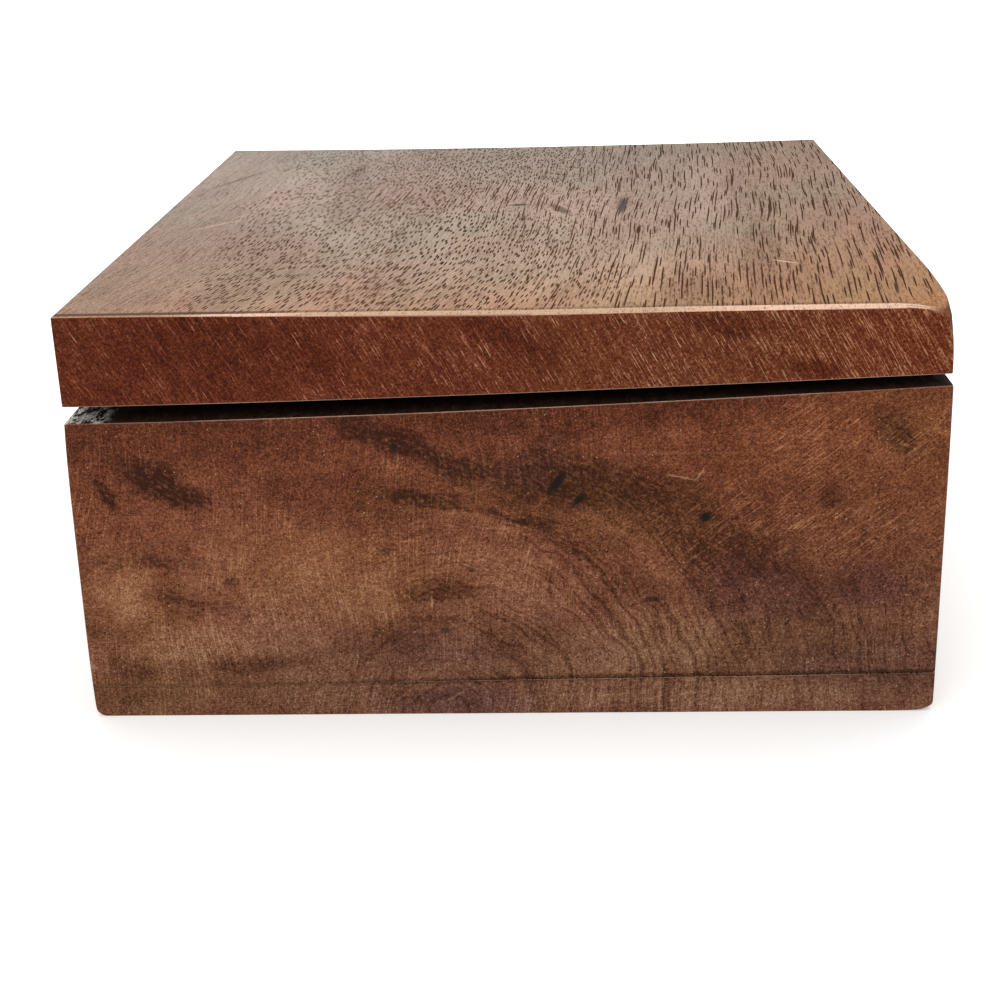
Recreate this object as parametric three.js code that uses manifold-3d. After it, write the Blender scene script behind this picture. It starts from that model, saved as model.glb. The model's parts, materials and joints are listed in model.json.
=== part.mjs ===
// Hinged wooden box for papers and keepsakes.
// Millimetres, +Z up, front of the box towards -Y.
// The origin is the middle of the underside of the base board.

import * as THREE from "three";
import { mergeVertices } from "three/addons/utils/BufferGeometryUtils.js";
import Module from "manifold-3d";

const wasm = await Module();
wasm.setup();

// The box as a whole, where its sides bulge most
const boxWidth = 127.4;
const boxDepth = 150.5;

// Heights: the base board and the block are measured at the left, the lid at the right
const baseThickness = 5.0;
const baseTaper = 1.5;
const blockHeight = 41.95;
const partingRise = 4.0;
const gapLeft = 2.4;
const gapRight = 1.6;
const lidThickness = 10.2;
const glueGap = 0.3;

// How the parting cut bends as it climbs to the right: 1 is straight
const partingBendShare = 1.5;
const partingSteps = 12;

// How far the sanded side faces fall back from their widest place
const blockEaseLeft = 0.6;
const blockEaseRight = 0.3;
const lidLeanLeft = 0.5;
const lidLeanRight = 1.1;
const sideSteps = 6;

// Sharp edges taken off
const uprightEdgeRadius = 0.8;
const lidWornCornerRadius = 3.5;
const lidChamfer = 0.6;
const lidWornEdgeRadius = 1.6;
const footRadius = 0.8;
const wornFootRadius = 1.8;
const edgeSteps = 4;
const uprightEdgeSteps = 2;

// The hollow, which runs down to the base board
const sideWall = 11;
const frontWall = 11;
const backWall = 12;
const cavityCornerRadius = 9;
const cavityCornerSteps = 5;

// Two butt hinges, alike
const hingeInset = 29;
const leafLength = 25;
const leafWidth = 9;
const leafThickness = 1.0;
const leafGap = 0.5;
const knuckleWall = 0.65;
const knuckleCount = 5;
const knuckleSetback = 0.4;
const pinRadius = 0.8;
const pinProud = 0.3;
const pinEndChamfer = 0.25;
const roundSteps = 28;

// Countersunk slotted screws, two in each leaf
const screwEndInset = 5;
const screwToBack = 4.8;
const screwLength = 7;
const screwHeadRadius = 1.5;
const screwShankRadius = 0.8;
const screwTipLength = 1.6;
const screwSunk = 0.1;
const slotWidth = 0.5;
const slotDepth = 0.3;
const screwSteps = 20;

// Room kept between pieces that touch or run in each other, and how far a cut runs past a face
const clearance = 0.3;
const overrun = 5;

const halfWidth = boxWidth / 2;
const halfDepth = boxDepth / 2;
const knuckleRadius = pinRadius + clearance + knuckleWall;

const wood = new THREE.MeshStandardMaterial({ color: 0x6b402c, roughness: 0.55, metalness: 0 });
const lidWood = new THREE.MeshStandardMaterial({ color: 0x74432c, roughness: 0.5, metalness: 0 });
const brass = new THREE.MeshStandardMaterial({ color: 0xae8a45, roughness: 0.38, metalness: 1 });

// Heights across the width
const acrossShare = (x) => Math.min(Math.max((x + halfWidth) / boxWidth, 0), 1);
const bendShare = (x) => Math.pow(acrossShare(x), partingBendShare);
const glueLineAt = (x) => baseThickness + baseTaper * acrossShare(x);
const rimAt = (x) => baseThickness + blockHeight + partingRise * bendShare(x);
const gapAt = (x) => gapLeft + (gapRight - gapLeft) * bendShare(x);
const undersideAt = (x) => rimAt(x) + gapAt(x);
const lidTop = rimAt(halfWidth) + gapRight + lidThickness;

// How far the block and base board fall back at a height, as a share of their full easing
const easeShare = (z) => {
  const middle = rimAt(0) / 2;
  return Math.pow((z - middle) / middle, 2);
};
const leftSideAt = (z) => -halfWidth + blockEaseLeft * easeShare(z);
const rightSideAt = (z) => halfWidth - blockEaseRight * easeShare(z);

// A closed solid from a three.js geometry
const solidOf = (geometry) => {
  geometry.deleteAttribute("normal");
  geometry.deleteAttribute("uv");
  const merged = mergeVertices(geometry);
  const corners = merged.index.array;
  const kept = [];
  for (let i = 0; i < corners.length; i += 3) {
    const [a, b, c] = [corners[i], corners[i + 1], corners[i + 2]];
    if (a !== b && b !== c && c !== a) kept.push(a, b, c);
  }
  const vertProperties = new Float32Array(merged.attributes.position.array);
  const triVerts = new Uint32Array(kept);
  return new wasm.Manifold(new wasm.Mesh({ numProp: 3, vertProperties, triVerts }));
};

const meshOf = (name, solid, material) => {
  const { vertProperties, triVerts } = solid.getMesh();
  const geometry = new THREE.BufferGeometry();
  geometry.setAttribute("position", new THREE.BufferAttribute(vertProperties, 3));
  geometry.setIndex(new THREE.BufferAttribute(triVerts, 1));
  geometry.computeVertexNormals();
  const mesh = new THREE.Mesh(geometry, material);
  mesh.name = name;
  return mesh;
};

// A solid that runs the whole depth of the box, from its outline seen from the front
const alongDepth = (points) => {
  const shape = new THREE.Shape(points.map(([x, z]) => new THREE.Vector2(x, z)));
  const geometry = new THREE.ExtrudeGeometry(shape, { depth: boxDepth, bevelEnabled: false });
  geometry.rotateX(Math.PI / 2);
  geometry.translate(0, halfDepth, 0);
  return solidOf(geometry);
};

// A solid that runs the whole width of the box, from its outline seen from the right
const alongWidth = (points) => {
  const shape = new THREE.Shape(points.map(([y, z]) => new THREE.Vector2(y, z)));
  const depth = boxWidth + overrun + overrun;
  const geometry = new THREE.ExtrudeGeometry(shape, { depth, bevelEnabled: false });
  geometry.rotateX(Math.PI / 2);
  geometry.rotateZ(Math.PI / 2);
  geometry.translate(-halfWidth - overrun, 0, 0);
  return solidOf(geometry);
};

// A solid that stands upright between two heights, from its outline seen from above
const upright = (shape, low, high, curveSegments) => {
  const depth = high - low;
  const geometry = new THREE.ExtrudeGeometry(shape, { depth, bevelEnabled: false, curveSegments });
  geometry.translate(0, 0, low);
  return solidOf(geometry);
};

// A rectangle seen from above. Its corner radii go round from the front left corner
const roundedPlan = (left, right, front, back, radii) => {
  const [frontLeft, frontRight, backRight, backLeft] = radii;
  const shape = new THREE.Shape();
  shape.moveTo(left + frontLeft, front);
  shape.lineTo(right - frontRight, front);
  shape.absarc(right - frontRight, front + frontRight, frontRight, -Math.PI / 2, 0);
  shape.lineTo(right, back - backRight);
  shape.absarc(right - backRight, back - backRight, backRight, 0, Math.PI / 2);
  shape.lineTo(left + backLeft, back);
  shape.absarc(left + backLeft, back - backLeft, backLeft, Math.PI / 2, Math.PI);
  shape.lineTo(left, front + frontLeft);
  shape.absarc(left + frontLeft, front + frontLeft, frontLeft, Math.PI, 3 * Math.PI / 2);
  return shape;
};

// Points of a height line across the width, from left to right
const lineAcross = (left, right, heightAt) => {
  const points = [];
  for (let i = 0; i <= partingSteps; i += 1) {
    const x = left + (right - left) * i / partingSteps;
    points.push([x, heightAt(x)]);
  }
  return points;
};

// Points up a side face, both ends left out
const pointsUpSide = (sideAt, low, high) => {
  const points = [];
  for (let i = 1; i < sideSteps; i += 1) {
    const z = low + (high - low) * i / sideSteps;
    points.push([sideAt(z), z]);
  }
  return points;
};

// Points of a rounded outer edge about its centre, from one angle to another
const arcPoints = (centreX, centreZ, radius, from, to) => {
  const points = [];
  for (let i = 0; i <= edgeSteps; i += 1) {
    const angle = from + (to - from) * i / edgeSteps;
    points.push([centreX + radius * Math.cos(angle), centreZ + radius * Math.sin(angle)]);
  }
  return points;
};

// The hinges share one line, which climbs with the parting, halfway up the gap behind the box
const hingeX = halfWidth - hingeInset;
const midGapAt = (x) => rimAt(x) + gapAt(x) / 2;
const hingeTilt = Math.atan2(midGapAt(hingeX) - midGapAt(-hingeX), hingeX + hingeX);
const hingeHeight = (midGapAt(hingeX) + midGapAt(-hingeX)) / 2;
const hingeReach = hingeX / Math.cos(hingeTilt);

const hingeLine = new THREE.Group();
hingeLine.position.set(0, halfDepth + knuckleSetback, hingeHeight);
hingeLine.rotation.y = -hingeTilt;
hingeLine.updateMatrixWorld(true);

const hingeSides = [["left", -hingeReach], ["right", hingeReach]];
const leafSides = [["body", -1], ["lid", 1]];
const screwPlaces = [["1", screwEndInset - leafLength / 2], ["2", leafLength / 2 - screwEndInset]];

// A block in a hinge's own frame, whose X runs along the pin from the middle of the hinge
const hingeBlock = (length, front, back, low, high) => {
  const geometry = new THREE.BoxGeometry(length, back - front, high - low);
  geometry.translate(0, (back + front) / 2, (high + low) / 2);
  return geometry;
};

const barAlongPin = (x, length, radius) => {
  const geometry = new THREE.CylinderGeometry(radius, radius, length, roundSteps);
  geometry.rotateZ(Math.PI / 2);
  geometry.translate(x, 0, 0);
  return geometry;
};

// A solid turned about a screw's line. Its heights run from the middle of the gap into the
// wood. Side is -1 for a screw that points down and 1 for one that points up
const turned = (profile, side, x) => {
  const points = profile.map(([radius, height]) => new THREE.Vector2(radius, height));
  const geometry = new THREE.LatheGeometry(points, screwSteps);
  geometry.rotateX(Math.PI / 2);
  if (side < 0) geometry.rotateX(Math.PI);
  geometry.translate(x, -knuckleSetback - screwToBack, 0);
  return geometry;
};

const headTop = leafGap / 2 + screwSunk;
const headHeight = screwHeadRadius - screwShankRadius;

// From the rim of the head to the tip, grown by a margin all round
const screwProfile = (margin) => [
  [screwHeadRadius + margin, headTop],
  [screwShankRadius + margin, headTop + headHeight],
  [screwShankRadius + margin, headTop + screwLength - screwTipLength + margin],
  [0, headTop + screwLength + margin],
];

const screwSolid = (side, x) => {
  const body = solidOf(turned([[0, headTop], ...screwProfile(0)], side, x));
  const slotLength = screwHeadRadius + screwHeadRadius + overrun;
  const slot = new THREE.BoxGeometry(slotWidth, slotLength, slotDepth + slotDepth);
  slot.translate(x, -knuckleSetback - screwToBack, side * headTop);
  return body.subtract(solidOf(slot));
};

// The hole that a screw needs through its leaf and into the wood
const screwHole = (side, x) => {
  const mouth = screwHeadRadius + clearance;
  return solidOf(turned([[0, 0], [mouth, 0], ...screwProfile(clearance)], side, x));
};

// Knuckles take turns along the pin: even ones are the body's, odd ones the lid's
const knuckleLength = (leafLength - clearance * (knuckleCount - 1)) / knuckleCount;
const knuckleMiddle = (i) => (i - (knuckleCount - 1) / 2) * (knuckleLength + clearance);
const isBodyKnuckle = (i) => i % 2 === 0;

const leafSolid = (side) => {
  const inner = side * leafGap / 2;
  const outer = side * (leafGap / 2 + leafThickness);
  const [low, high] = [Math.min(inner, outer), Math.max(inner, outer)];
  let leaf = solidOf(hingeBlock(leafLength, -knuckleSetback - leafWidth, 0, low, high));
  for (let i = 0; i < knuckleCount; i += 1) {
    const own = isBodyKnuckle(i) === (side < 0);
    const radius = own ? knuckleRadius : knuckleRadius + clearance;
    const length = own ? knuckleLength : knuckleLength + clearance + clearance;
    const bar = solidOf(barAlongPin(knuckleMiddle(i), length, radius));
    leaf = own ? leaf.add(bar) : leaf.subtract(bar);
  }
  leaf = leaf.subtract(solidOf(barAlongPin(0, leafLength + overrun, pinRadius + clearance)));
  for (const [, x] of screwPlaces) leaf = leaf.subtract(screwHole(side, x));
  return leaf;
};

const pinSolid = () => {
  const reach = leafLength / 2 + pinProud;
  const profile = [
    [0, -reach],
    [pinRadius - pinEndChamfer, -reach],
    [pinRadius, -reach + pinEndChamfer],
    [pinRadius, reach - pinEndChamfer],
    [pinRadius - pinEndChamfer, reach],
    [0, reach],
  ];
  const points = profile.map(([radius, height]) => new THREE.Vector2(radius, height));
  const geometry = new THREE.LatheGeometry(points, screwSteps);
  geometry.rotateZ(Math.PI / 2);
  return solidOf(geometry);
};

// A cutter moved from a hinge's own frame to the box's frame
const placed = (solid, x) => {
  const move = new THREE.Matrix4().makeTranslation(x, 0, 0).premultiply(hingeLine.matrixWorld);
  return solid.transform(move.elements);
};

// What a hinge takes out of the wood on one side of the gap: a seat for the leaf, a round
// for the knuckles and a pilot hole for each screw
const hingeCuts = (side) => {
  const floor = side * (leafGap / 2 + leafThickness + clearance);
  const [low, high] = [Math.min(floor, -side * overrun), Math.max(floor, -side * overrun)];
  const length = leafLength + clearance + clearance;
  const front = -knuckleSetback - leafWidth - clearance;
  const barLength = leafLength + pinProud + pinProud + clearance + clearance;
  const cuts = [];
  for (const [, x] of hingeSides) {
    const parts = [
      hingeBlock(length, front, overrun, low, high),
      barAlongPin(0, barLength, knuckleRadius + clearance),
    ].map(solidOf);
    for (const [, place] of screwPlaces) parts.push(screwHole(side, place));
    for (const part of parts) cuts.push(placed(part, x));
  }
  return cuts;
};

const cutHinges = (solid, side) => hingeCuts(side).reduce((left, cut) => left.subtract(cut), solid);

const baseBoard = () => {
  const left = leftSideAt(0);
  const right = rightSideAt(0);
  const down = -Math.PI / 2;
  const outline = [
    ...arcPoints(left + footRadius, footRadius, footRadius, -Math.PI, down),
    ...arcPoints(right - wornFootRadius, wornFootRadius, wornFootRadius, down, 0),
    [rightSideAt(glueLineAt(halfWidth)), glueLineAt(halfWidth) - glueGap],
    [leftSideAt(glueLineAt(-halfWidth)), glueLineAt(-halfWidth) - glueGap],
  ];
  return alongDepth(outline).intersect(outerPlan());
};

// The upright outside of the block and the base board, with its edges taken off
const outerPlan = () => {
  const radii = Array(4).fill(uprightEdgeRadius);
  const plan = roundedPlan(-halfWidth, halfWidth, -halfDepth, halfDepth, radii);
  return upright(plan, -overrun, lidTop + overrun, uprightEdgeSteps);
};

const bodyBlock = () => {
  const [glueLeft, glueRight] = [glueLineAt(-halfWidth), glueLineAt(halfWidth)];
  const [rimLeft, rimRight] = [rimAt(-halfWidth), rimAt(halfWidth)];
  const outline = [
    [leftSideAt(glueLeft), glueLeft],
    [rightSideAt(glueRight), glueRight],
    ...pointsUpSide(rightSideAt, glueRight, rimRight),
    ...lineAcross(leftSideAt(rimLeft), rightSideAt(rimRight), rimAt).reverse(),
    ...pointsUpSide(leftSideAt, glueLeft, rimLeft).reverse(),
  ];
  const radii = Array(4).fill(cavityCornerRadius);
  const [left, right] = [-halfWidth + sideWall, halfWidth - sideWall];
  const [front, back] = [-halfDepth + frontWall, halfDepth - backWall];
  const hollow = roundedPlan(left, right, front, back, radii);
  const cavity = upright(hollow, -overrun, lidTop + overrun, cavityCornerSteps);
  return cutHinges(alongDepth(outline).intersect(outerPlan()).subtract(cavity), -1);
};

const lidSlab = () => {
  const left = -halfWidth;
  const right = halfWidth - lidLeanRight;
  const worn = lidWornEdgeRadius;
  const outline = [
    ...lineAcross(left + lidLeanLeft, halfWidth, undersideAt),
    ...arcPoints(right - worn, lidTop - worn, worn, 0, Math.PI / 2),
    [left + lidChamfer, lidTop],
    [left, lidTop - lidChamfer],
  ];
  const sideOutline = [
    [-halfDepth, -overrun],
    [halfDepth, -overrun],
    [halfDepth, lidTop - lidChamfer],
    [halfDepth - lidChamfer, lidTop],
    [-halfDepth + lidChamfer, lidTop],
    [-halfDepth, lidTop - lidChamfer],
  ];
  const radii = [uprightEdgeRadius, lidWornCornerRadius, uprightEdgeRadius, uprightEdgeRadius];
  const plan = roundedPlan(-halfWidth, halfWidth, -halfDepth, halfDepth, radii);
  const trim = upright(plan, -overrun, lidTop + overrun, uprightEdgeSteps);
  const slab = alongDepth(outline).intersect(alongWidth(sideOutline)).intersect(trim);
  return cutHinges(slab, 1);
};

const hinge = (name, x) => {
  const group = new THREE.Group();
  group.position.x = x;
  group.add(meshOf(`hinge_${name}_pin`, pinSolid(), brass));
  for (const [owner, side] of leafSides) {
    group.add(meshOf(`hinge_${name}_${owner}_leaf`, leafSolid(side), brass));
    for (const [number, place] of screwPlaces) {
      const screw = screwSolid(side, place);
      group.add(meshOf(`hinge_${name}_${owner}_screw_${number}`, screw, brass));
    }
  }
  return group;
};

const box = new THREE.Group();
box.add(meshOf("body_block", bodyBlock(), wood));
box.add(meshOf("base_board", baseBoard(), wood));
box.add(meshOf("lid", lidSlab(), lidWood));
for (const [name, x] of hingeSides) hingeLine.add(hinge(name, x));
box.add(hingeLine);

export default box;
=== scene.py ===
import json
import math
from functools import reduce

import bpy
import numpy as np
from mathutils import Matrix, Vector, noise


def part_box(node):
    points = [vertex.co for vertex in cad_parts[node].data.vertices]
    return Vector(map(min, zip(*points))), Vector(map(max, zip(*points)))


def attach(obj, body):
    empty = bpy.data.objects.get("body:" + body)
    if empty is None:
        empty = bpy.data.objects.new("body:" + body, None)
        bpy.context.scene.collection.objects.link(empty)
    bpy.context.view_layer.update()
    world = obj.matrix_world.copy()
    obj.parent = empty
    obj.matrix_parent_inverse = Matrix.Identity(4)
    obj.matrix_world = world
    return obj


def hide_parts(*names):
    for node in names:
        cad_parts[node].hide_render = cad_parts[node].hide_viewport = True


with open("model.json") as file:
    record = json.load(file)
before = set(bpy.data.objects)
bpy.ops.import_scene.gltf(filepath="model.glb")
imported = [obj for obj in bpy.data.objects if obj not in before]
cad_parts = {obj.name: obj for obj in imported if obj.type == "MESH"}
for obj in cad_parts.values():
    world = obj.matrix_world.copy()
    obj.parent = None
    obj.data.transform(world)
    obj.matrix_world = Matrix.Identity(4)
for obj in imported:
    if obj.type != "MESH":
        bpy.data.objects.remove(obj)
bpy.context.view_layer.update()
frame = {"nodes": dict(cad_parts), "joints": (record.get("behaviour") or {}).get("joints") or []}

METRES = 0.001
MILLIMETRES = 1000


def box_mm(node):
    """Lowest and highest corner of a CAD node, in millimetres."""
    low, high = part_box(node)
    return low * MILLIMETRES, high * MILLIMETRES


BODY_LOW, BODY_HIGH = box_mm("body_block")
HALF_WIDTH = BODY_HIGH.x
HALF_DEPTH = BODY_HIGH.y
LID_TOP = box_mm("lid")[1].z
FRONT_Y = -HALF_DEPTH

# Camera of the photograph, fitted to the corners of the box
CAMERA_PLACE = (9.236, -315.296, 122.05)
CAMERA_PITCH = 20.0176
CAMERA_YAW = -2.37377
CAMERA_ROLL = -1.46659
CAMERA_LENS = 63.4
CAMERA_SENSOR = 36

# Heights across the width, left to right. The saw cut between block and lid climbs and bends
GLUE_LEFT = BODY_LOW.z
GLUE_RIGHT = 6.5
GLUE_LINE_LEFT = 0.04
GLUE_LINE_RIGHT = 0.28
RIM_LEFT = 46.95
RIM_RIGHT = BODY_HIGH.z
RIM_HIGHEST = RIM_RIGHT + 2
GAP_LEFT = 2.4
GAP_RIGHT = 1.6
PARTING_BEND_SHARE = 1.5

# How far the sanded side faces fall back from their widest place
BLOCK_EASE_LEFT = 0.35
BLOCK_EASE_RIGHT = 0.06
LID_LEAN_LEFT = 0.25
LID_LEAN_RIGHT = 0.3
LID_LEAN_CORNER = 0.85
LID_LEAN_REACH = 26

# The hollow
SIDE_WALL = 11
FRONT_WALL = 11
BACK_WALL = 12
CAVITY_CORNER_RADIUS = 9

# Edges taken off by sanding and wear
UPRIGHT_EDGE = 0.35
LID_CHAMFER_LEFT = 0.16
LID_CHAMFER_RIGHT = 0.62
LID_CHAMFER_START = -58
LID_CHAMFER_END = -8
LID_STRIP_END = 0.1
LID_STRIP_END_REACH = 7
LID_STRIP_END_INSET = 2.4
FRONT_DIP = 0.14
FRONT_DIP_PLACE = 4
FRONT_DIP_REACH = 26
LID_SIDE_EDGE = 0.25
LOWER_EDGE = 0.25
WORN_CORNER_EDGE = 1.3
WORN_CORNER_REACH = 7
CORNER_DROP = 1.3
CORNER_DROP_ALONG_FRONT = 8
CORNER_DROP_ALONG_SIDE = 5.5
LEAST_EDGE = 0.001
FOOT_EDGE = 0.5
FOOT_FRONT_EDGE = 0.12
WORN_FOOT_LEFT = (1.6, 1.3)
WORN_FOOT_RIGHT = (2.4, 1.2)
WORN_FOOT_LIFT = 0.22
WORN_FOOT_REACH = 6
BACK_SAG = 0.45

# How an edge is taken off: flat like a chamfer, or round
FLAT = 1
HALF_ROUND = 1.5
ROUND = 2

# Mesh spacing: fine near edges, coarse between them
EDGE_SHARES = (0, 0.02, 0.05, 0.09, 0.14, 0.21, 0.3, 0.43, 0.6, 0.79, 1)
FACE_STEP = 1.4
RIM_STEP = 0.85
SAWN_STEP = 0.5
CORNER_STEPS = 8

# Unevenness of hand work: how deep and how long its waves are
WAVE_DEPTH = 0.05
WAVE_LENGTH = 24
SAWN_DEPTH = 0.25
SAWN_LENGTH = 1.3
SAWN_STRETCH = 3


def smooth_step(value, low, high):
    """0 below low, 1 above high and a smooth climb between, for arrays and numbers."""
    share = np.clip((value - low) / (high - low), 0, 1)
    return share * share * (3 - 2 * share)


def near(distance, reach):
    """1 close by and 0 from reach on, for arrays and numbers."""
    return 1 - smooth_step(distance, 0, reach)


def across_share(x):
    return np.clip((x + HALF_WIDTH) / (2 * HALF_WIDTH), 0, 1)


def between(left, right, share):
    return left + (right - left) * share


def glue_line(x):
    return between(GLUE_LEFT, GLUE_RIGHT, across_share(x))


def rim_height(x):
    return between(RIM_LEFT, RIM_RIGHT, across_share(x) ** PARTING_BEND_SHARE)


def underside(x):
    gap = between(GAP_LEFT, GAP_RIGHT, across_share(x) ** PARTING_BEND_SHARE)
    return rim_height(x) + gap


def side_ease(x, z):
    """Where a point of the block or base board lies once its side falls back."""
    middle = rim_height(0) / 2
    fall = ((z - middle) / middle) ** 4
    depth = np.where(x < 0, BLOCK_EASE_LEFT, BLOCK_EASE_RIGHT)
    return x * (1 - fall * depth / HALF_WIDTH)


# Mesh making


def places(length, edge, step):
    """Places along a length, close together near both ends."""
    near = edge * np.array(EDGE_SHARES)
    count = max(2, round((length - 2 * edge) / step))
    middle = np.linspace(edge, length - edge, count + 1)
    return np.concatenate([near[:-1], middle, (length - near[::-1])[1:]])


def new_object(name, data):
    thing = bpy.data.objects.new(name, data)
    bpy.context.scene.collection.objects.link(thing)
    return thing


def make_piece(name, points, faces):
    """A mesh object in metres from points in millimetres."""
    mesh = bpy.data.meshes.new(name)
    mesh.from_pydata((np.asarray(points) * METRES).tolist(), [], faces)
    mesh.validate()
    return new_object(name, mesh)


def block_shell(xs, ys, zs):
    """The outside of a block of grid points: the points' places and the faces."""
    counts = (len(xs), len(ys), len(zs))
    outside = np.ones(counts, bool)
    outside[1:-1, 1:-1, 1:-1] = False
    number = np.zeros(counts, int)
    number[outside] = np.arange(outside.sum())
    i, j, k = np.nonzero(outside)
    faces = []
    for axis in range(3):
        for end in (0, -1):
            sheet = np.take(number, end, axis=axis)
            quads = [sheet[:-1, :-1], sheet[1:, :-1], sheet[1:, 1:], sheet[:-1, 1:]]
            quads = np.stack(quads, -1).reshape(-1, 4)
            faces_out = (end == -1) != (axis == 1)
            faces += (quads if faces_out else quads[:, ::-1]).tolist()
    return xs[i], ys[j], zs[k], faces


def ease(insets, radii, roundness):
    """Takes off the edge or corner where faces meet. Insets are distances in from each face."""
    reach = [np.maximum(0, 1 - inset / radius) for inset, radius in zip(insets, radii)]
    largest = np.maximum.reduce(reach)
    total = sum(r ** roundness for r in reach) ** (1 / roundness)
    kept = np.where(total > 0, largest / np.where(total > 0, total, 1), 1)
    return [
        np.where(r > 0, radius * (1 - r * kept), inset)
        for inset, radius, r in zip(insets, radii, reach)
    ]


def ease_edges(insets, edges):
    """Takes off a block's edges one after another. Each has two sides, a radius and a roundness."""
    for first, second, radius, roundness in edges:
        pair = ease((insets[first], insets[second]), (radius, radius), roundness)
        insets[first], insets[second] = pair


def wear_inwards(piece, depth_at):
    """Moves each vertex of a mesh in along its normal by depth_at(place, normal)."""
    mesh = piece.data
    points = np.zeros(len(mesh.vertices) * 3)
    normals = np.zeros(len(mesh.vertices) * 3)
    mesh.vertices.foreach_get("co", points)
    mesh.vertices.foreach_get("normal", normals)
    points = points.reshape(-1, 3) * MILLIMETRES
    normals = normals.reshape(-1, 3)
    depths = [depth_at(Vector(point), normal) for point, normal in zip(points, normals)]
    moved = (points - normals * np.array(depths)[:, None]) * METRES
    mesh.vertices.foreach_set("co", moved.ravel())
    mesh.update()


def sanded(place):
    """Low waves of a hand-sanded face, from 0 to their depth."""
    return WAVE_DEPTH * (0.5 + 0.5 * noise.noise(place / WAVE_LENGTH))


def sawn(place):
    """Torn marks of the saw, from 0 to their depth."""
    across = Vector((place.x / SAWN_LENGTH, place.y / (SAWN_STRETCH * SAWN_LENGTH), 0))
    torn = noise.fractal(across, 1, 2, 3)
    return SAWN_DEPTH * min(1, max(0, 0.4 + 0.6 * torn))


def glued(place):
    """A glued face isn't worn."""
    return 0


SMOOTH_ANGLE = math.radians(40)


def shade(piece):
    """Smooth shading, with creases kept."""
    piece.data.shade_smooth()
    piece.data.set_sharp_from_angle(angle=SMOOTH_ANGLE)


def bake_modifiers(piece):
    """Puts the result of a piece's modifiers into its mesh."""
    depsgraph = bpy.context.evaluated_depsgraph_get()
    result = bpy.data.meshes.new_from_object(piece.evaluated_get(depsgraph))
    piece.modifiers.clear()
    piece.data = result


def paint(piece, materials, pick):
    """Gives each face the material whose number pick(centre, normal) returns."""
    for material in materials:
        piece.data.materials.append(material)
    for polygon in piece.data.polygons:
        polygon.material_index = pick(polygon.center * MILLIMETRES, polygon.normal)


# Hinge seats, cut along the line of the hinge joint
JOINT = frame["joints"][0]
HINGE_PLACE = Vector(JOINT["pos_m"]) * MILLIMETRES
HINGE_TILT = math.atan2(-JOINT["axis"][2], -JOINT["axis"][0])
LEAF_LENGTH = 25
LEAF_WIDTH = 9
LEAF_THICKNESS = 1
LEAF_GAP = 0.5
KNUCKLE_RADIUS = 1.75
KNUCKLE_SETBACK = HINGE_PLACE.y - HALF_DEPTH
PIN_PROUD = 0.3
SEAT_CLEARANCE = 0.3
CUT_OVERRUN = 5
SEAT_ROUND_STEPS = 48


def hinge_frame(x):
    """The matrix from a hinge's own frame, whose X runs along its pin, to the box's frame."""
    turn = Matrix.Rotation(-HINGE_TILT, 4, "Y")
    along = Matrix.Translation((x / math.cos(HINGE_TILT), 0, 0))
    return Matrix.Translation(HINGE_PLACE) @ turn @ along


def seat_block(side):
    """Points and faces of the cut that a leaf lies in."""
    floor = side * (LEAF_GAP / 2 + LEAF_THICKNESS + SEAT_CLEARANCE)
    half = LEAF_LENGTH / 2 + SEAT_CLEARANCE
    front = -KNUCKLE_SETBACK - LEAF_WIDTH - SEAT_CLEARANCE
    heights = np.array(sorted((floor, -side * CUT_OVERRUN)))
    x, y, z, faces = block_shell(np.array([-half, half]), np.array([front, CUT_OVERRUN]), heights)
    return np.stack([x, y, z], -1), faces


def seat_round():
    """Points and faces of the round cut behind a leaf, for its knuckles."""
    half = LEAF_LENGTH / 2 + PIN_PROUD + SEAT_CLEARANCE
    radius = KNUCKLE_RADIUS + SEAT_CLEARANCE
    count = SEAT_ROUND_STEPS
    angles = np.linspace(0, 2 * math.pi, count, endpoint=False)
    ring = [(radius * math.cos(angle), radius * math.sin(angle)) for angle in angles]
    points = [(end, y, z) for end in (-half, half) for y, z in ring]
    walls = [(i, count + i, count + (i + 1) % count, (i + 1) % count) for i in range(count)]
    caps = [tuple(range(count)), tuple(range(2 * count - 1, count - 1, -1))]
    return np.array(points), walls + caps


def cut_seats(piece, side):
    """Cuts both hinges' seats out of a piece. Side is -1 for the block and 1 for the lid."""
    leaf_low, leaf_high = box_mm("hinge_right_body_leaf")
    middle = (leaf_low.x + leaf_high.x) / 2
    for x in (-middle, middle):
        for points, faces in (seat_block(side), seat_round()):
            turned = [hinge_frame(x) @ Vector(point) for point in points]
            cutter = make_piece("seat_cutter", turned, faces)
            modifier = piece.modifiers.new("seat", "BOOLEAN")
            modifier.operation = "DIFFERENCE"
            modifier.solver = "EXACT"
            modifier.object = cutter
            bake_modifiers(piece)
            bpy.data.objects.remove(cutter)


# The wooden pieces

CORNERS = tuple((y, x, UPRIGHT_EDGE, ROUND) for y in ("front", "back") for x in ("left", "right"))


def slab(grid_edge, shares):
    """Grid points of a slab as wide and deep as the box, its faces and its insets from the sides."""
    xs = places(2 * HALF_WIDTH, grid_edge, FACE_STEP) - HALF_WIDTH
    ys = places(2 * HALF_DEPTH, grid_edge, FACE_STEP) - HALF_DEPTH
    x, y, share, faces = block_shell(xs, ys, shares)
    insets = {
        "left": x + HALF_WIDTH,
        "right": HALF_WIDTH - x,
        "front": y + HALF_DEPTH,
        "back": HALF_DEPTH - y,
    }
    return x, y, share, faces, insets


def slab_places(x, y, insets):
    """Where points lie once their insets have changed."""
    return (
        np.where(x < 0, insets["left"] - HALF_WIDTH, HALF_WIDTH - insets["right"]),
        np.where(y < 0, insets["front"] - HALF_DEPTH, HALF_DEPTH - insets["back"]),
    )


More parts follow.
